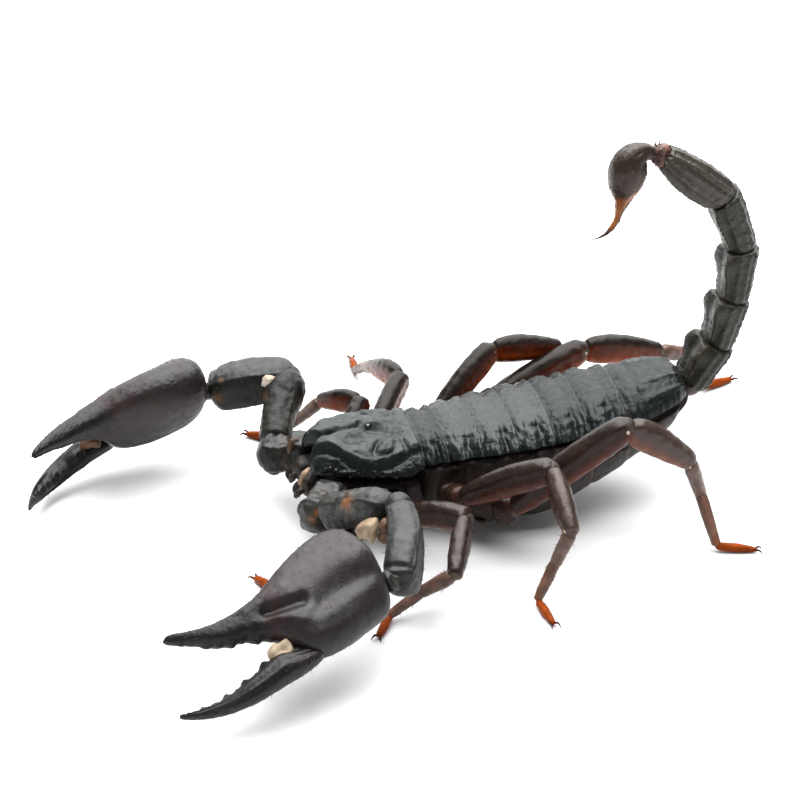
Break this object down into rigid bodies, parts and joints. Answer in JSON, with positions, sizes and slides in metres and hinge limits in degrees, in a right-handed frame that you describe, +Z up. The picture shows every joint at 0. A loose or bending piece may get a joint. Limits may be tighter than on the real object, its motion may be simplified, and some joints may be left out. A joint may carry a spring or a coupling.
{
  "type": "scorpion model",
  "caption": "Life-size still model of a large dark forest scorpion, standing with its claws open and its tail raised in a hook over its back.",
  "frame": {"origin": "on the floor plane, under the centre of the overall box", "axes": "+Z up from the floor, -Y the way the head looks, +X to the animal's left"},
  "size_m": [0.09, 0.1078, 0.0532],
  "materials": {
    "shell": "glossy slate-black horn with fine grain",
    "claws": "satin grey-brown horn, granular",
    "legs": "satin dark red-brown horn",
    "feet": "satin brown running to orange at the toes",
    "belly": "matt dark brown skin",
    "tail": "keeled olive-brown horn",
    "sting": "maroon-brown horn with an amber sting",
    "eyes": "polished black"
  },
  "bodies": {
    "root": {"carapace": "shell", "eye_left": "eyes", "chelicera_left": "belly", "pectine_left": "belly", "eye_right": "eyes", "chelicera_right": "belly", "pectine_right": "belly", "coxal_plate": "belly", "tergite_1": "shell", "tergite_2": "shell", "tergite_3": "shell", "tergite_4": "shell", "tergite_5": "shell", "tergite_6": "shell", "tergite_7": "shell", "sternite_3": "belly", "sternite_4": "belly", "sternite_5": "belly", "sternite_6": "belly", "sternite_7": "belly", "palp_left_trochanter": "shell", "palp_left_femur": "shell", "palp_left_patella": "shell", "palp_left_hand": "claws", "palp_left_movable_finger": "claws", "leg_left_1_femur": "legs", "leg_left_1_patella": "legs", "leg_left_1_foot": "feet", "leg_left_2_femur": "legs", "leg_left_2_patella": "legs", "leg_left_2_foot": "feet", "leg_left_3_femur": "legs", "leg_left_3_patella": "legs", "leg_left_3_foot": "feet", "leg_left_4_femur": "legs", "leg_left_4_patella": "legs", "leg_left_4_foot": "feet", "palp_right_trochanter": "shell", "palp_right_femur": "shell", "palp_right_patella": "shell", "palp_right_hand": "claws", "palp_right_movable_finger": "claws", "leg_right_1_femur": "legs", "leg_right_1_patella": "legs", "leg_right_1_foot": "feet", "leg_right_2_femur": "legs", "leg_right_2_patella": "legs", "leg_right_2_foot": "feet", "leg_right_3_femur": "legs", "leg_right_3_patella": "legs", "leg_right_3_foot": "feet", "leg_right_4_femur": "legs", "leg_right_4_patella": "legs", "leg_right_4_foot": "feet", "tail_1": "tail", "tail_2": "tail", "tail_3": "tail", "tail_4": "tail", "tail_5": "tail", "telson": "sting"}
  },
  "joints": []
}
